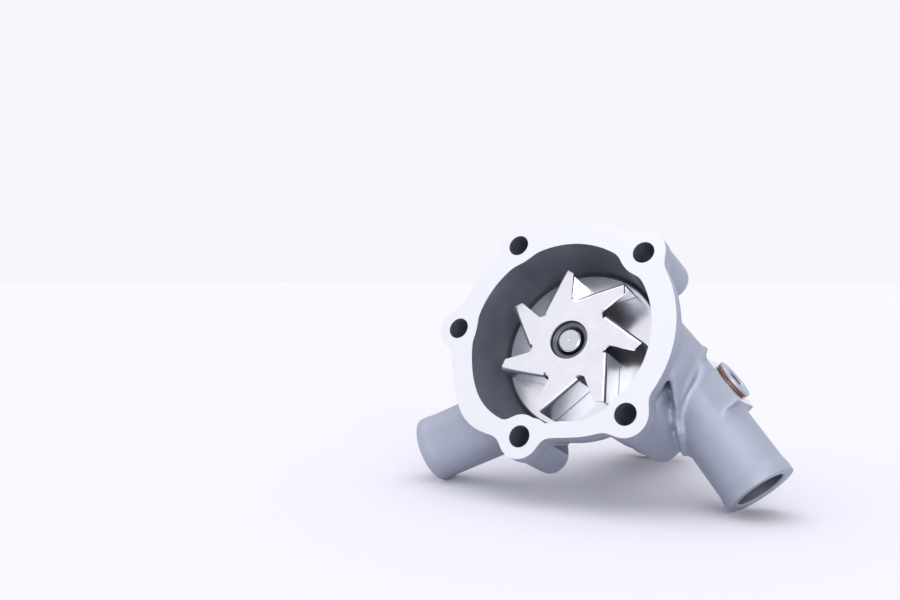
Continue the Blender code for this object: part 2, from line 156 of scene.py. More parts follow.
def cutBy(obj, bm, name):
    tool = meshObject(bm, name)
    mod = obj.modifiers.new(name, "BOOLEAN")
    mod.operation = "DIFFERENCE"
    mod.solver = "MANIFOLD"
    mod.object = tool
    applyAll(obj)
    bpy.data.objects.remove(tool)


def seat(obj, body, nodes, materials, sharp=32.0):  # into the world frame and onto its body
    mesh = obj.data
    mesh.transform(place)
    mesh.materials.clear()
    for mat in materials:
        mesh.materials.append(mat)
    mesh.shade_smooth()
    mesh.set_sharp_from_angle(angle=math.radians(sharp))
    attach(obj, body)
    if nodes:
        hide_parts(*nodes)
    return obj


def bevelEdges(obj, width, angle=30.0, segments=2):
    mod = obj.modifiers.new("edge", "BEVEL")
    mod.width = width
    mod.segments = segments
    mod.limit_method = "ANGLE"
    mod.angle_limit = math.radians(angle)
    mod.use_clamp_overlap = True
    applyAll(obj)


def evenNormals(obj):
    even = obj.modifiers.new("even", "WEIGHTED_NORMAL")
    even.keep_sharp = True


# ---- material helpers

def colour(code):  # sRGB hex to linear
    parts = [int(code[i:i + 2], 16) / 255 for i in (1, 3, 5)]
    return tuple(c / 12.92 if c <= 0.04045 else ((c + 0.055) / 1.055) ** 2.4
                 for c in parts) + (1.0,)


def addNode(tree, kind, settings=None, links=None):
    node = tree.nodes.new(kind)
    for key, value in (settings or {}).items():
        if isinstance(key, str) and hasattr(node, key):
            setattr(node, key, value)
        else:
            node.inputs[key].default_value = value
    for key, source in (links or {}).items():
        tree.links.new(source, node.inputs[key])
    return node


def startMaterial(name, base, metallic, roughness, **sockets):
    mat = bpy.data.materials.new(name)
    mat.use_nodes = True
    tree = mat.node_tree
    shader = tree.nodes["Principled BSDF"]
    shader.inputs["Base Color"].default_value = colour(base)
    shader.inputs["Metallic"].default_value = metallic
    shader.inputs["Roughness"].default_value = roughness
    for key, value in sockets.items():
        shader.inputs[key].default_value = value
    mat.diffuse_color = colour(base)
    return mat, tree, shader


def pumpCoords(tree):  # Object coordinates turned into the pump frame, metres
    coords = addNode(tree, "ShaderNodeTexCoord")
    turn = place.to_3x3().normalized().transposed()
    home = -(turn @ place.translation)
    return addNode(tree, "ShaderNodeMapping",
                   {"Location": home, "Rotation": turn.to_euler("XYZ")},
                   {"Vector": coords.outputs["Object"]}).outputs["Vector"]


def mixTint(tree, factor, first, second, mode="MIX"):
    return addNode(tree, "ShaderNodeMix",
                   {"data_type": "RGBA", "blend_type": mode, 6: first, 7: second},
                   {0: factor}).outputs[2]


def spread(tree, source, low, high):
    return addNode(tree, "ShaderNodeMapRange", {"To Min": low, "To Max": high},
                   {"Value": source}).outputs["Result"]


def noise(tree, vector, size, detail=3.0, rough=0.55):  # size is the feature size in metres
    return addNode(tree, "ShaderNodeTexNoise",
                   {"Scale": 1.0 / size, "Detail": detail, "Roughness": rough},
                   {"Vector": vector}).outputs["Fac"]


def bumped(tree, height, depth, strength, normal=None):
    links = {"Height": height}
    if normal is not None:
        links["Normal"] = normal
    return addNode(tree, "ShaderNodeBump", {"Distance": depth, "Strength": strength},
                   links).outputs["Normal"]


def makeCastAluminium():
    # sand cast and shot blasted: an even, matte blue grey with a soft grain and a broad sheen
    values = {"base": "#a9aebc", "dark": "#989eac", "grain": 0.00055, "cloud": 0.012,
              "ripple": 0.0035}
    mat, tree, shader = startMaterial("castAluminium", values["base"], 0.6, 0.46)
    at = pumpCoords(tree)
    grain = noise(tree, at, values["grain"], 2.0, 0.6)
    cloud = noise(tree, at, values["cloud"], 4.0, 0.5)
    ripple = noise(tree, at, values["ripple"], 2.0, 0.5)
    tint = mixTint(tree, spread(tree, cloud, 0.0, 1.0), colour(values["dark"]),
                   colour(values["base"]))
    tree.links.new(tint, shader.inputs["Base Color"])
    tree.links.new(spread(tree, grain, 0.44, 0.60), shader.inputs["Roughness"])
    low = bumped(tree, ripple, 0.0006, 0.22)
    tree.links.new(bumped(tree, grain, 0.00012, 0.35, low), shader.inputs["Normal"])
    return mat


def makeBowlPaintedShade():
    # the as-cast bowl interior, also laid on the bolt holes and stub bores: the same alloy and
    # duller; its darker colour is painted shade of these hollows
    mat, tree, shader = startMaterial("bowlCastPaintedShade", "#6c707b", 0.55, 0.55)
    at = pumpCoords(tree)
    grain = noise(tree, at, 0.0006, 2.0, 0.6)
    cloud = noise(tree, at, 0.010, 4.0, 0.5)
    tint = mixTint(tree, cloud, colour("#5d616c"), colour("#777b86"))
    tree.links.new(tint, shader.inputs["Base Color"])
    tree.links.new(bumped(tree, grain, 0.00014, 0.4), shader.inputs["Normal"])
    return mat


def makeMachinedFace():
    # face-milled aluminium: bright, with the fine arcs a cutter leaves 0.6 mm apart
    mat, tree, shader = startMaterial("milledAluminium", "#e9ebef", 0.8, 0.34)
    at = pumpCoords(tree)
    shift = addNode(tree, "ShaderNodeMapping", {"Location": (0.11, 0.05, 0.0)},
                    {"Vector": at}).outputs["Vector"]
    arcs = addNode(tree, "ShaderNodeTexWave",
                   {"wave_type": "RINGS", "rings_direction": "Z", "Scale": 0.5 / 0.0006 / math.pi,
                    "Distortion": 0.4, "Detail": 1.0}, {"Vector": shift}).outputs["Fac"]
    tree.links.new(spread(tree, arcs, 0.30, 0.40), shader.inputs["Roughness"])
    tree.links.new(bumped(tree, arcs, 0.00002, 0.25), shader.inputs["Normal"])
    return mat


def makePlatedSheet():
    # pressed steel sheet, nickel plated: mirror-like but a little clouded, rolled grain one way
    mat, tree, shader = startMaterial("platedSteelSheet", "#f0f1f5", 1.0, 0.2)
    at = pumpCoords(tree)
    stretched = addNode(tree, "ShaderNodeMapping", {"Scale": (1.0, 12.0, 1.0)},
                        {"Vector": at}).outputs["Vector"]
    lines = noise(tree, stretched, 0.004, 4.0, 0.6)
    cloud = noise(tree, at, 0.006, 3.0, 0.5)
    tint = mixTint(tree, cloud, colour("#e9ebf0"), colour("#f8f8fb"))
    tree.links.new(tint, shader.inputs["Base Color"])
    tree.links.new(spread(tree, lines, 0.16, 0.30), shader.inputs["Roughness"])
    tree.links.new(bumped(tree, lines, 0.00002, 0.3), shader.inputs["Normal"])
    return mat


def makeTurnedSteel(name, base, roughness, pitch):
    # turned or ground steel: fine rings about the shaft, pitch apart
    mat, tree, shader = startMaterial(name, base, 1.0, roughness)
    at = pumpCoords(tree)
    rings = addNode(tree, "ShaderNodeTexWave",
                    {"wave_type": "RINGS", "rings_direction": "Z", "Scale": 0.5 / pitch / math.pi,
                     "Distortion": 0.6, "Detail": 1.0}, {"Vector": at}).outputs["Fac"]
    cloud = noise(tree, at, 0.003, 3.0, 0.5)
    tree.links.new(spread(tree, cloud, roughness * 0.8, roughness * 1.3),
                   shader.inputs["Roughness"])
    tree.links.new(bumped(tree, rings, 0.00002, 0.25), shader.inputs["Normal"])
    return mat


def makePlain(name, base, metallic, roughness, grain, depth, second=None, **sockets):
    # one finish with a little tint drift and a grain of the given size
    mat, tree, shader = startMaterial(name, base, metallic, roughness, **sockets)
    at = pumpCoords(tree)
    fine = noise(tree, at, grain, 3.0, 0.55)
    broad = noise(tree, at, grain * 12, 2.0, 0.5)
    tint = mixTint(tree, broad, colour(base), colour(second or base))
    tree.links.new(tint, shader.inputs["Base Color"])
    tree.links.new(spread(tree, fine, roughness * 0.85, min(1.0, roughness * 1.2)),
                   shader.inputs["Roughness"])
    tree.links.new(bumped(tree, fine, depth, 0.4), shader.inputs["Normal"])
    return mat


finish = {
    "cast": makeCastAluminium(),
    "bowl": makeBowlPaintedShade(),
    "milled": makeMachinedFace(),
    "plated": makePlatedSheet(),
    # ground bearing steel: bright, rings too fine to see
    "ground": makeTurnedSteel("groundBearingSteel", "#d6d8dd", 0.2, 0.0003),
    # turned steel under a film of oil: grey, tool rings half a millimetre apart
    "turned": makeTurnedSteel("oiledTurnedSteel", "#85878b", 0.34, 0.0005),
    # the collar's steel: the same finish, darker partly from coolant staining and partly as painted
    # shade inside the impeller eye
    "collar": makeTurnedSteel("collarCoolantAndPaintedShade", "#6b6d72", 0.36, 0.0004),
    # zinc plate over a steel plug: pale, faintly blue, a satin sparkle
    "zinc": makePlain("zincPlatedPlug", "#b9bec9", 1.0, 0.33, 0.0008, 0.00003, "#a7adb9"),
    # annealed copper washer: warm, dulled by handling
    "copper": makePlain("annealedCopper", "#b0714f", 1.0, 0.35, 0.0008, 0.00003, "#94583c"),
    # nitrile rubber: near black, moulded matte
    "rubber": makePlain("nitrileRubber", "#1b1c1e", 0.0, 0.68, 0.0005, 0.00004, "#232427"),
    # glass-filled nylon cage: tan, with a soft moulded sheen
    "nylon": makePlain("nylonCage", "#a07c4c", 0.0, 0.5, 0.0006, 0.00003, "#8e6c40",
                       IOR=1.53),
    # deep-drawn brass: yellow, faint draw lines
    "brass": makePlain("drawnBrass", "#b8924f", 1.0, 0.3, 0.0009, 0.00002, "#a7833f"),
    # drawn spring wire: mid grey, smooth
    "spring": makePlain("drawnSpringWire", "#9b9da1", 1.0, 0.3, 0.0006, 0.00002),
    # lapped seal carbon: black, dense, with a slight gloss
    "carbon": makePlain("lappedCarbon", "#1f1f20", 0.0, 0.42, 0.0004, 0.00001, "#262628"),
    # alumina seal seat: ivory, smooth
    "ceramic": makePlain("aluminaSeat", "#e6dfcb", 0.0, 0.25, 0.0005, 0.00001, "#ded5be",
                         IOR=1.7),
}
print("materials made:", len(finish))

# ---- housing

bolts = {  # x, y, lobe radius, inner relief radius, boss length, boss radius
    "left": (-45.8, -12.2, 9.0, 8.3, 30.0, 8.3),
    "upperLeft": (-15.2, -43.7, 9.0, 8.3, 30.0, 8.3),
    "upperRight": (39.3, -24.4, 9.2, 9.4, 30.0, 8.6),
    "lowerRight": (25.1, 40.4, 9.3, 7.0, 40.0, 8.6),
    "bottom": (-19.5, 41.0, 9.2, 9.0, 29.5, 8.2),
}
flange = {"radius": 49.6, "thick": 7.0, "holeRadius": 4.5, "blend": 4.0,
          "swells": ((270.0, 40.0, -2.1), (222.0, 20.0, -0.8), (98.0, 24.0, -5.0),
                     (146.0, 16.0, 3.2))}
bowl = {"radius": 39.5, "shift": (0.1, 1.2), "swells": ((144.0, 24.0, 2.6), (95.0, 14.0, -2.6)),
        "tongue": (-13.0, 40.0, 5.0), "wall": 4.6, "floorRadius": 35.8, "depth": 28.0,
        "back": 33.0}
stub = {"radius": 14.0, "bore": 10.0, "chamfer": 0.6, "bead": 14.45,
        "leftEnd": (-73.6, 30.5, 24.6), "leftAngle": 168.2, "leftLength": 44.0, "leftBore": 39.0,
        "rightEnd": (61.86, 66.69, 37.50), "rightAngle": 63.36, "rightTilt": 7.39,
        "rightLength": 62.0, "rightBore": 61.0}
neck = {"radius": 14.9, "face": 41.97,
        "normal": Vector((0.9339, 0.3133, -0.1724)).normalized(), "bead": 1.3,
        "roots": ((48, 15.0, -59.0), (32, 9.0, -64.5)),  # steps, radius, height on the stub axis
        "crest": ((50.24, 8.77, 30.82), (49.32, 19.62, 18.63), (46.46, 25.95, 16.40),
                  (42.55, 31.66, 16.46), (38.51, 36.33, 18.47), (37.89, 43.59, 22.34),
                  (36.13, 49.50, 32.12)),
        "feet": ((46.8, 5.2, 6.5), (42.5, 25.5, 6.5), (42.2, -2.5, 26.0)), "footRadius": 1.4,
        "bossSeats": ((7.6, 6.5), (6.4, 38.0))}
pad = {"height": 15.6, "back": -39.7, "turn": 6.0, "half": 10.6, "across": 10.2, "stem": 6.7,
       "heel": (-9.0, 13.2, 1.0), "toe": (13.2, 11.8, 2.0), "cutter": (23.5, 24.0, 10.0)}
snout = {"radius": 23.2, "end": 103.0, "bearingBore": 19.35, "bearingStart": 53.7,
         "sealBore": 18.3, "sealEnd": 46.0, "passage": 13.0,
         "flare": ((35.6, 26.0), (36.0, 33.0), (30.0, 40.0), (26.5, 48.0))}
weepHole = {"radius": 2.0, "from": 10.0, "to": 45.0}
cast = {"voxel": 0.8, "smoothing": 6, "over": 1.5, "outlineSteps": 360}

leftStub = axisFrame(stub["leftEnd"], direction(stub["leftAngle"]))
rightWay = direction(stub["rightAngle"], stub["rightTilt"])
rightStub = axisFrame(stub["rightEnd"], rightWay)
padSide = direction(stub["rightAngle"] - 90.0)
padWay = (padSide * math.cos(math.radians(pad["turn"]))
          + rightWay.cross(padSide) * math.sin(math.radians(pad["turn"])))
padFrame = axisFrame(Vector(stub["rightEnd"]) + rightWay * pad["back"], padWay,
                     rightWay.cross(padWay))


def swell(theta, swells):
    total = 0.0
    for centre, width, height in swells:
        off = (theta - centre + 180.0) % 360.0 - 180.0
        total += height * math.exp(-((off / width) ** 2))
    return total


def softMin(a, b, k):
    h = max(k - abs(a - b), 0.0) / k
    return min(a, b) - h * h * k * 0.25


def bowlRadius(theta):
    a = math.radians(theta)
    return (bowl["radius"] + bowl["shift"][0] * math.cos(a) + bowl["shift"][1] * math.sin(a)
            + swell(theta, bowl["swells"]))


def flangeLevel(theta, r):
    x, y = polar(theta, r)
    level = r - flange["radius"] - swell(theta, flange["swells"])
    for bolt in bolts.values():
        level = softMin(level, math.hypot(x - bolt[0], y - bolt[1]) - bolt[2],
                        flange["blend"])
    return level


def bowlLevel(theta, r):
    x, y = polar(theta, r)
    solid = bowlRadius(theta) - r
    for bolt in bolts.values():
        solid = softMin(solid, math.hypot(x - bolt[0], y - bolt[1]) - bolt[3], 3.0)
    tongue = bowl["tongue"]
    return -softMin(solid, math.hypot(x - tongue[0], y - tongue[1]) - tongue[2], 1.2)


def edgeRadius(level, theta, low=20.0, high=75.0):  # where the outline crosses this ray
    for _ in range(32):
        middle = 0.5 * (low + high)
        if level(theta, middle) < 0.0:
            low = middle
        else:
            high = middle
    return low


def closing(depth):  # 0 where the section is the volute, 1 at the round floor
    t = min(max((depth - 5.0) / 21.0, 0.0), 1.0)
    return t * t * (3.0 - 2.0 * t)


def ringOf(radii, depth, pull=0.0, inset=0.0):
    def point(i):
        r = radii[i] + (bowl["floorRadius"] - radii[i]) * pull - inset
        return (*polar(360.0 * i / len(radii), r), depth)
    return point


def stubProfile(length, over):
    r, bead = stub["radius"], stub["bead"]
    return [(0, -length), (r, -length), (r, -5.6), (bead - 0.2, -4.4), (bead, -3.0),
            (bead - 0.1, -1.7), (r + 0.4, -0.4), (r, over), (0, over)]


def mouthRing(grow, offset, count):  # neck cylinder cut by the mouth plane
    normal = neck["normal"]
    centre = rightStub @ Vector((0, 0, -neck["face"]))
    ring = []
    for i in range(count):
        x, y = polar(360.0 * i / count, neck["radius"] + grow)
        p = rightStub @ Vector((x, y, -neck["face"]))
        slide = (centre - p).dot(normal) / rightWay.dot(normal)
        ring.append(p + rightWay * slide + normal * offset)
    return ring


def castShells():  # overlapping closed shells, one for each feature of the pattern
    bm = bmesh.new()
    count = cast["outlineSteps"]
    land = [edgeRadius(flangeLevel, i) for i in range(count)]
    lofted(bm, count, [ringOf(land, -cast["over"]), ringOf(land, flange["thick"])])
    front = [bowlRadius(3.0 * i) + bowl["wall"] for i in range(120)]
    sections = ((2.0, 0.0), (9.0, 0.0), (17.0, 0.0), (22.0, 0.1), (26.0, 0.6), (30.5, 1.8),
                (bowl["back"], 4.6))
    rings = []
    for depth, inset in sections:
        pull = closing(depth)
        radii = [r - (r - bowl["wall"] - bowl["floorRadius"]) * pull - inset for r in front]
        rings.append(ringOf(radii, depth))
    lofted(bm, 120, rings)
    turned(bm, [(0, 26.0), *snout["flare"], (snout["radius"] + 1.0, 56.0),
                (snout["radius"], snout["end"] + 1.0), (0, snout["end"] + 1.0)], 96)
    for x, y, _, _, length, r in bolts.values():
        turned(bm, [(0, 2.0), (r + 0.2, 2.0), (r - 0.1, length + 1.0), (0, length + 1.0)], 48,
               Matrix.Translation((x, y, 0)))
    turned(bm, stubProfile(stub["leftLength"], cast["over"]), 96, leftStub)
    turned(bm, stubProfile(stub["rightLength"], cast["over"]), 96, rightStub)
    spots = [bm.verts.new(p) for p in mouthRing(0.2, -0.3, 60)]
    for steps, radius, height in neck["roots"]:
        spot = rightStub @ Matrix.Translation((0, 0, height))
        spots += bmesh.ops.create_circle(bm, segments=steps, radius=radius, matrix=spot)["verts"]
    hullOver(bm, spots)
    flank = [bm.verts.new(p) for p in neck["crest"]]
    flank += [bm.verts.new(p) for p in mouthRing(-1.0, -1.3, 60) if p.z > 33.0]
    for foot in neck["feet"]:
        flank += bmesh.ops.create_circle(bm, segments=12, radius=neck["footRadius"],
                                         matrix=Matrix.Translation(foot))["verts"]
    hullOver(bm, flank)
    for start, end in zip(neck["crest"], neck["crest"][1:]):  # the raised line along the fold
        link = []
        for spot in (start, end):
            ball = bmesh.ops.create_icosphere(bm, subdivisions=2, radius=neck["bead"],
                                              matrix=Matrix.Translation(spot))["verts"]
            link += [v.co.copy() for v in ball]
        hullOver(bm, [bm.verts.new(p) for p in link])
    x, y = bolts["lowerRight"][:2]
    lower = Matrix.Translation((x, y, 0))
    spots = [bm.verts.new(p) for p in mouthRing(-2.0, -2.2, 40)]
    for radius, height in neck["bossSeats"]:
        spots += bmesh.ops.create_circle(bm, segments=32, radius=radius,
                                         matrix=lower @ Matrix.Translation((0, 0, height)))["verts"]
    hullOver(bm, spots)
    spots = []
    top = pad["height"] + cast["over"]
    for along, across, high in ((-pad["half"], pad["across"], top),
                                (pad["half"], pad["across"], top), pad["heel"], pad["toe"]):
        for side in (-1, 1):
            spots.append(bm.verts.new(padFrame @ Vector((along, side * across, high))))
    hullOver(bm, spots)
    return meshObject(bm, "pumpHousing")


def makeHousing():
    body = castShells()
    skin = body.modifiers.new("skin", "REMESH")
    skin.mode = "VOXEL"
    skin.voxel_size = cast["voxel"]
    soften = body.modifiers.new("soften", "SMOOTH")
    soften.factor = 0.5
    soften.iterations = cast["smoothing"]
    applyAll(body)
    print("casting skinned:", len(body.data.polygons), "faces")

    faces = bmesh.new()  # what the mill, the lathe and the spot facer take off
    bmesh.ops.create_cube(faces, size=1.0, matrix=Matrix.Translation((0, 0, -10))
                          @ Matrix.Diagonal((170, 170, 20, 1)))
    high = pad["height"]
    bmesh.ops.create_cube(faces, size=1.0, matrix=padFrame @ Matrix.Translation((0, 0, high + 5))
                          @ Matrix.Diagonal((*pad["cutter"], 1)))
    for spot in (leftStub, rightStub):
        turned(faces, [(0, 0), (19, 0), (19, 6), (0, 6)], 64, spot)
    turned(faces, [(0, snout["end"]), (30, snout["end"]), (30, 110), (0, 110)], 96)
    for x, y, _, _, length, r in bolts.values():
        turned(faces, [(0, length), (r + 0.5, length), (r + 0.5, length + 4), (0, length + 4)],
               48, Matrix.Translation((x, y, 0)))
    cutBy(body, faces, "machining")

    hollow = bmesh.new()
    count = cast["outlineSteps"]
    radii = [edgeRadius(bowlLevel, i, high=50.0) for i in range(count)]
    depths = [(-1.0, 0.0), (5.0, 0.0), (8.0, 0.0), (11.0, 0.0), (14.0, 0.0), (17.0, 0.0),
              (20.0, 0.0), (23.0, 0.0), (25.4, 0.0), (26.5, 0.3), (27.3, 1.0), (27.8, 1.9),
              (bowl["depth"], 3.2)]
    lofted(hollow, count, [ringOf(radii, d, closing(d), inset) for d, inset in depths])
    for x, y, _, _, length, _ in bolts.values():
        turned(hollow, [(0, -3), (flange["holeRadius"], -3), (flange["holeRadius"], length + 12),
                        (0, length + 12)], 64, Matrix.Translation((x, y, 0)))
    turned(hollow, [(0, 4.0), (pad["stem"], 4.0), (pad["stem"], high - 0.8),
                    (pad["stem"] + 0.8, high), (pad["stem"] + 0.8, high + 6), (0, high + 6)],
           64, padFrame)
    cutBy(body, hollow, "hollows")

    bores = bmesh.new()
    s = snout
    turned(bores, [(0, 20.0), (s["sealBore"], 20.0), (s["sealBore"], s["sealEnd"]),
                   (s["passage"], s["sealEnd"]), (s["passage"], s["bearingStart"]),
                   (s["bearingBore"], s["bearingStart"]), (s["bearingBore"], s["end"] - 0.6),
                   (s["bearingBore"] + 0.6, s["end"]), (s["bearingBore"] + 0.6, s["end"] + 2),
                   (0, s["end"] + 2)], 128)
    r, lip = stub["bore"], stub["chamfer"]
    for spot, deep in ((leftStub, stub["leftBore"]), (rightStub, stub["rightBore"])):
        turned(bores, [(0, -deep), (r, -deep), (r, -lip), (r + lip, 0.0), (r + lip, 2.0), (0, 2.0)],
               72, spot)
    cutBy(body, bores, "bores")

    weep = bmesh.new()
    a = math.radians(stance["roll"])
    down = axisFrame((0, 0, 0.5 * (s["sealEnd"] + s["bearingStart"])),
                     (-math.sin(a), math.cos(a), 0))
    r, start, end = weepHole["radius"], weepHole["from"], weepHole["to"]
    turned(weep, [(0, start), (r, start), (r, end), (0, end)], 32, down)
    cutBy(body, weep, "weepHole")

    # slot 2 is the darker bowl material: painted shade on the bowl walls, bolt holes and stub bores
    milled, paintedShadeSlot = 1, 2
    inPad = padFrame.inverted()
    inLeft, inRight = leftStub.inverted(), rightStub.inverted()
    seat(body, "housing", ["pump_housing"],
         [finish["cast"], finish["milled"], finish["bowl"]])
    back = place.inverted()
    turn = back.to_3x3()
    for poly in body.data.polygons:
        c = back @ poly.center
        n = (turn @ poly.normal).normalized()
        r = math.hypot(c.x, c.y)
        onPad = inPad @ c
        flatCut = (abs(c.z) < 0.02 or abs(c.z - s["end"]) < 0.02
                   or (abs(onPad.z - high) < 0.02 and abs(onPad.x) < 13 and abs(onPad.y) < 13))
        holed = any(math.hypot(c.x - b[0], c.y - b[1]) < flange["holeRadius"] + 0.05
                    for b in bolts.values())
        spotted = any(abs(c.z - b[4]) < 0.02 and math.hypot(c.x - b[0], c.y - b[1]) < b[5] + 1
                      for b in bolts.values())
        bored = c.z > 28.2 and r < s["bearingBore"] + 0.7
        alongBores = ((inLeft @ c, stub["leftBore"]), (inRight @ c, stub["rightBore"]))
        piped = any(math.hypot(p.x, p.y) < stub["bore"] + 0.05 and -deep - 0.2 < p.z < 0.1
                    for p, deep in alongBores)
        if flatCut or spotted or bored:
            poly.material_index = milled
        elif holed or piped:
            poly.material_index = paintedShadeSlot
        # bowl walls facing the axis take the darker material, which paints the shade in the bowl
        elif 0.0 < c.z < bowl["depth"] + 0.1 and n.z < 0.6 and r < 46.5:
            toAxis = n.x * c.x + n.y * c.y
            if toAxis < 0.0 or n.z < -0.5:
                poly.material_index = paintedShadeSlot if r < 44.0 else 0
    print("housing:", len(body.data.polygons), "faces")
    return body


housing = makeHousing()

# ---- impeller

impeller = {"face": 10.8, "sheet": 1.2, "arms": 7, "phase": -79.3, "bend": 1.7, "back": 24.6,
            "eye": 8.4, "tip": 32.4, "heel": 29.7, "start": 0.9, "edge": 0.12,
            "rings": ((8.4, 0.0, 0.0), (8.8, 0.0, 0.0), (11.5, 0.0, 0.0), (12.0, 0.12, 0.0),
                      (12.5, 0.12, 0.0), (13.0, 0.0, 0.1), (14.2, 0.0, 0.5), (15.4, 0.0, 0.9))}


def filleted(corners):  # (point, radius, steps) to a rounded closed outline
    out = []
    for i, (p, radius, steps) in enumerate(corners):
        if radius == 0.0:
            out.append(p)
            continue
        before, after = corners[i - 1][0], corners[(i + 1) % len(corners)][0]
        u, v = (before - p).normalized(), (after - p).normalized()
        half = 0.5 * u.angle(v)
        reach = min(radius / math.tan(half), 0.45 * (before - p).length,
                    0.45 * (after - p).length)
        middle = p + (u + v).normalized() * (reach / math.cos(half))
        start, end = p + u * reach - middle, p + v * reach - middle
        for k in range(steps + 1):
            t = k / steps
            swing = start.lerp(end, t)
            out.append(middle + swing.normalized() * start.length)
    return out


def makeVanePlate():
    pitch = 360.0 / impeller["arms"]
    corners, bent = [], []
    bend = impeller["bend"]
    for k in range(impeller["arms"]):
        a = impeller["phase"] + k * pitch
        root, tip = Vector(polar(a + 4, 18.2)), Vector(polar(a + 42.4, impeller["tip"]))
        heel = Vector(polar(a + pitch - 1.8, impeller["heel"]))
        foot, sole = Vector(polar(a + pitch - 2.6, 18.1)), Vector(polar(a + pitch + 0.6, 17.2))
        along = (tip - root).normalized()
        out = Vector((along.y, -along.x))
        if out.dot(heel - root) > 0:
            out = -out
        begin = root - out * bend + along * impeller["start"]
        corners += [(begin - along * 1.1, 0.5, 3), (begin, 0.0, 0), (tip - out * bend, 0.0, 0),
                    (heel, 0.7, 4), (foot, 0.5, 3), (sole, 0.5, 3)]
        bent.append((begin, tip - out * bend, out))
    outline = filleted(corners)
    count = len(outline)
    bm = bmesh.new()
    rings = impeller["rings"]
    ring = bmesh.ops.create_circle(bm, cap_ends=False, segments=count, radius=1.0)["verts"]
    loop = list({e for v in ring for e in v.link_edges})
    order = [math.atan2(p.y, p.x) for p in outline]
    for i in range(1, count):  # keep the angles rising
        while order[i] < order[i - 1] - math.pi:
            order[i] += 2 * math.pi
        order[i] = max(order[i], order[i - 1] + 0.004)
    chain, current, seen = [ring[0]], ring[0], {ring[0]}
    while True:
        ahead = [e.other_vert(current) for e in current.link_edges
                 if e.other_vert(current) not in seen]
        if not ahead:
            break
        current = ahead[0]
        seen.add(current)
        chain.append(current)
    face = impeller["face"]
    for i, vert in enumerate(chain):
        even = order[0] + 2 * math.pi * i / count
        vert.co = Vector((rings[0][0] * math.cos(even), rings[0][0] * math.sin(even), face))
    for step in list(rings[1:]) + [None]:
        grown = bmesh.ops.extrude_edge_only(bm, edges=loop)["geom"]
        fresh = [g for g in grown if isinstance(g, bmesh.types.BMVert)]
        loop = [g for g in grown if isinstance(g, bmesh.types.BMEdge)
                and all(v in fresh for v in g.verts)]
        pairs = {}
        for vert in fresh:
            for edge in vert.link_edges:
                other = edge.other_vert(vert)
                if other in chain:
                    pairs[other] = vert
        chain = [pairs[v] for v in chain]
        for i, vert in enumerate(chain):
            if step is None:
                vert.co = Vector((outline[i].x, outline[i].y, face))
            else:
                even = order[0] + 2 * math.pi * i / count
                t = even + (order[i] - even) * step[2]
                vert.co = Vector((step[0] * math.cos(t), step[0] * math.sin(t), face + step[1]))
    for begin, end, out in bent:
        a = min(chain, key=lambda v: (v.co.xy - begin).length)
        b = min(chain, key=lambda v: (v.co.xy - end).length)
        edge = [e for e in a.link_edges if e.other_vert(a) is b][0]
        side = Vector((out.x, out.y, 0.0))
        last = Vector((0, 0, 0))
        angles = [math.radians(15 * k) for k in range(1, 7)]
        moves = [side * bend * math.sin(t) + Vector((0, 0, bend * (1 - math.cos(t))))
                 for t in angles]
        moves.append(side * bend + Vector((0, 0, impeller["back"] - face - 0.02)))
        for move in moves:
            grown = bmesh.ops.extrude_edge_only(bm, edges=[edge])["geom"]
            fresh = [g for g in grown if isinstance(g, bmesh.types.BMVert)]
            edge = [g for g in grown if isinstance(g, bmesh.types.BMEdge)
                    and all(v in fresh for v in g.verts)][0]
            for vert in fresh:
                vert.co += move - last
            last = move
    plate = meshObject(bm, "impellerVanePlate")
    probe = max(plate.data.polygons, key=lambda p: abs(p.normal.z) * p.area)
    if probe.normal.z > 0:
        plate.data.flip_normals()
    sheet = plate.modifiers.new("sheet", "SOLIDIFY")
    sheet.thickness = impeller["sheet"]
    sheet.offset = -1.0
    sheet.use_even_offset = True
    applyAll(plate)
    bevelEdges(plate, impeller["edge"], 50.0, 2)
    seat(plate, "rotor", ["impeller_vane_plate"], [finish["plated"]], 40.0)
    evenNormals(plate)
    print("vane plate:", len(plate.data.polygons), "faces")
    return plate


vanePlate = makeVanePlate()


# ---- turned pieces: each profile is a closed run of (radius, height, corner radius)

def smoothProfile(points, steps=3):
    corners = [(Vector((r, z)), round_, steps) for r, z, round_ in points]
    return [(p.x, p.y) for p in filleted(corners)]


def makeTurned(name, body, nodes, material, points, steps=128, sharp=32.0):
    bm = bmesh.new()
    turned(bm, smoothProfile(points), steps)
    obj = meshObject(bm, name)
    seat(obj, body, nodes, [material], sharp)
    evenNormals(obj)
    return obj


rearDisc = {"points": [(9.0, 24.9, 0.15), (33.9, 24.9, 0.3), (34.6, 25.3, 0.3), (34.6, 26.1, 0.3),
                       (9.0, 26.1, 0.15)]}
makeTurned("impellerBackDisc", "rotor", ["impeller_back_disc"],
           finish["plated"], rearDisc["points"], 180)

collar = {"points": [(5.3, 14.2, 0.0), (5.3, 13.9, 0.2), (6.2, 12.7, 0.1), (6.6, 12.3, 0.15),
                     (8.0, 12.3, 0.2), (8.2, 12.6, 0.1), (12.0, 12.6, 0.2), (12.2, 12.9, 0.1),
                     (12.2, 24.6, 0.2), (8.7, 24.6, 0.0), (8.7, 27.3, 0.25), (5.3, 27.5, 0.2)]}
# the hub takes the darkened collar steel: coolant stain plus painted shade in the eye
makeTurned("impellerHub", "rotor", ["impeller_hub"], finish["collar"],
           collar["points"])

shaft = {"points": [(0.0, 11.9, 0.0), (0.55, 11.2, 0.0), (4.3, 11.2, 0.15), (5.0, 11.9, 0.15),
                    (5.0, 27.5, 0.1), (5.6, 27.8, 0.2), (7.55, 27.8, 0.2), (7.95, 28.3, 0.15),
                    (7.95, 120.3, 0.15), (7.4, 121.0, 0.15), (1.2, 121.0, 0.0), (0.0, 119.8, 0.0)]}
makeTurned("pumpShaft", "rotor", ["pump_shaft"], finish["ground"],
           shaft["points"])


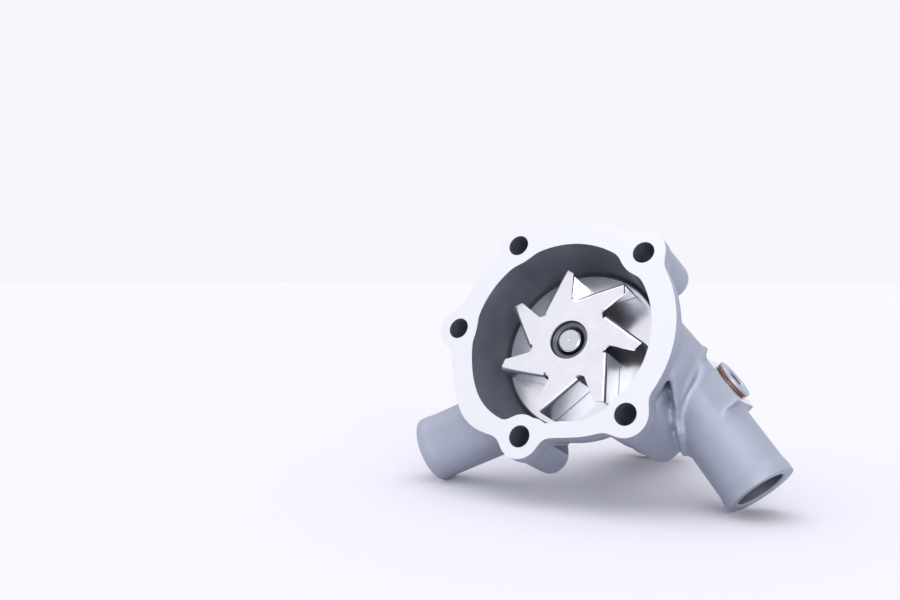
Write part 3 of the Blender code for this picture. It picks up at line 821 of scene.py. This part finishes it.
def makePulleyHub():
    hub = {"bore": 8.25, "boss": 13.4, "start": 104.5, "neck": 113.0, "flange": 22.2,
           "seat": 115.4, "face": 121.0, "hole": 2.6, "circle": 17.7}
    bm = bmesh.new()
    turned(bm, smoothProfile([(hub["bore"], hub["start"], 0.3), (hub["boss"], hub["start"], 0.8),
                              (hub["boss"], hub["neck"], 2.0), (17.0, hub["seat"], 1.2),
                              (hub["flange"], hub["seat"], 0.5), (hub["flange"], hub["face"], 0.5),
                              (hub["bore"], hub["face"], 0.5)], 4), 144)
    obj = meshObject(bm, "pulleyHub")
    drills = bmesh.new()
    r = hub["hole"]
    for k in range(4):
        x, y = polar(45 + 90 * k, hub["circle"])
        turned(drills, [(0, 110), (r, 110), (r, hub["face"] - 0.5), (r + 0.5, hub["face"]),
                        (r + 0.5, 123), (0, 123)], 40, Matrix.Translation((x, y, 0)))
    cutBy(obj, drills, "drills")
    seat(obj, "rotor", ["pulley_hub"], [finish["turned"]])
    evenNormals(obj)
    return obj


makePulleyHub()


def makePlug():
    plug = {"under": 17.1, "top": 18.3, "head": 8.2, "stem": 6.15, "depth": 5.2, "socket": 3.4}
    bm = bmesh.new()
    turned(bm, smoothProfile([(0.0, plug["depth"], 0.0), (plug["stem"] - 0.7, plug["depth"], 0.0),
                              (plug["stem"], plug["depth"] + 0.7, 0.2),
                              (plug["stem"], plug["under"], 0.1),
                              (plug["head"], plug["under"], 0.15), (plug["head"], plug["top"], 0.5),
                              (5.0, plug["top"], 0.15), (4.7, plug["top"] - 0.35, 0.15),
                              (0.0, plug["top"] - 0.35, 0.0)], 4), 96, padFrame)
    obj = meshObject(bm, "portPlug")
    key = bmesh.new()
    bmesh.ops.create_cone(key, cap_ends=True, segments=6, radius1=plug["socket"],
                          radius2=plug["socket"], depth=6.0,
                          matrix=padFrame @ Matrix.Translation((0, 0, plug["top"] + 0.2)))
    cutBy(obj, key, "hexSocket")
    seat(obj, "housing", ["port_plug"], [finish["zinc"]])
    evenNormals(obj)
    bm = bmesh.new()
    turned(bm, smoothProfile([(6.7, 16.17, 0.15), (8.0, 16.17, 0.25), (8.0, 16.83, 0.25),
                              (6.7, 16.83, 0.15)]), 96, padFrame)
    ring = meshObject(bm, "plugWasher")
    seat(ring, "housing", ["plug_washer"], [finish["copper"]])


makePlug()
print("turned pieces made")

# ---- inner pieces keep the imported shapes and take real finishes
innerFinish = {"slinger_ring": "rubber", "seat_rubber_cup": "rubber",
               "seal_ceramic_seat": "ceramic", "seal_carbon_ring": "carbon",
               "seal_bellows": "rubber", "seal_case": "brass", "seal_spring": "spring",
               "bearing_outer_race": "ground", "bearing_seal_front": "rubber",
               "bearing_seal_rear": "rubber", "bearing_cage_front": "nylon",
               "bearing_cage_rear": "nylon"}
for i in range(1, 8):
    innerFinish["ball_front_%d" % i] = "ground"
    innerFinish["ball_rear_%d" % i] = "ground"
for node, key in innerFinish.items():
    mesh = bpy.data.objects[node].data
    mesh.materials.clear()
    mesh.materials.append(finish[key])
print("inner pieces finished:", len(innerFinish))

# ---- stage, light and camera

studio = {"backdrop": "#f7f6fd", "floor": (0.69, 0.685, 0.735), "floorSize": 6.0,
          "worldStrength": 1.0}


def makeStage():
    # a sheet of pale card: matte, a faint tooth
    mat, tree, shader = startMaterial("paleCard", "#d9d8e0", 0.0, 0.9)
    shader.inputs["Base Color"].default_value = (*studio["floor"], 1.0)
    shader.inputs["Specular IOR Level"].default_value = 0.1
    coords = addNode(tree, "ShaderNodeTexCoord")
    tooth = noise(tree, coords.outputs["Object"], 0.002, 2.0, 0.5)
    tree.links.new(bumped(tree, tooth, 0.00005, 0.1), shader.inputs["Normal"])
    bm = bmesh.new()
    bmesh.ops.create_circle(bm, cap_ends=True, segments=96, radius=studio["floorSize"])
    mesh = bpy.data.meshes.new("floor")
    bm.to_mesh(mesh)
    bm.free()
    floor = bpy.data.objects.new("floor", mesh)
    scene.collection.objects.link(floor)
    mesh.materials.append(mat)
    world = bpy.data.worlds.new("studio")
    scene.world = world
    world.use_nodes = True
    back = world.node_tree.nodes["Background"]
    back.inputs["Color"].default_value = colour(studio["backdrop"])
    back.inputs["Strength"].default_value = studio["worldStrength"]


def makeSun(name, toward, strength, spreadAngle):  # toward: from the object to the light
    lamp = bpy.data.lights.new(name, "SUN")
    lamp.energy = strength
    lamp.angle = math.radians(spreadAngle)
    obj = bpy.data.objects.new(name, lamp)
    obj.rotation_mode = "QUATERNION"
    obj.rotation_quaternion = Vector(toward).to_track_quat("Z", "Y")
    scene.collection.objects.link(obj)


view = {"lens": 39.37, "sensor": 36.0, "near": 0.02, "far": 30.0,
        "at": (0.17471, -0.40363, 0.09278), "ahead": (-0.5550, 0.8313, -0.0321),
        "right": (0.8317, 0.5552, 0.0018)}


def makeCamera():
    camera = bpy.data.cameras.new("camera")
    camera.lens = view["lens"]
    camera.sensor_width = view["sensor"]
    camera.clip_start, camera.clip_end = view["near"], view["far"]
    obj = bpy.data.objects.new("camera", camera)
    scene.collection.objects.link(obj)
    ahead = Vector(view["ahead"]).normalized()
    right = Vector(view["right"])
    right = (right - ahead * right.dot(ahead)).normalized()
    up = right.cross(ahead)
    turn = Matrix((right, up, -ahead)).transposed().to_4x4()
    turn.translation = Vector(view["at"])
    obj.matrix_world = turn
    scene.camera = obj


makeStage()
makeSun("overhead", (-0.15, 0.05, 1.0), 1.1, 70.0)
makeSun("front", (0.60, -0.80, 0.25), 1.4, 50.0)
makeCamera()
scene.view_settings.view_transform = "Standard"
print("stage, light and camera set")
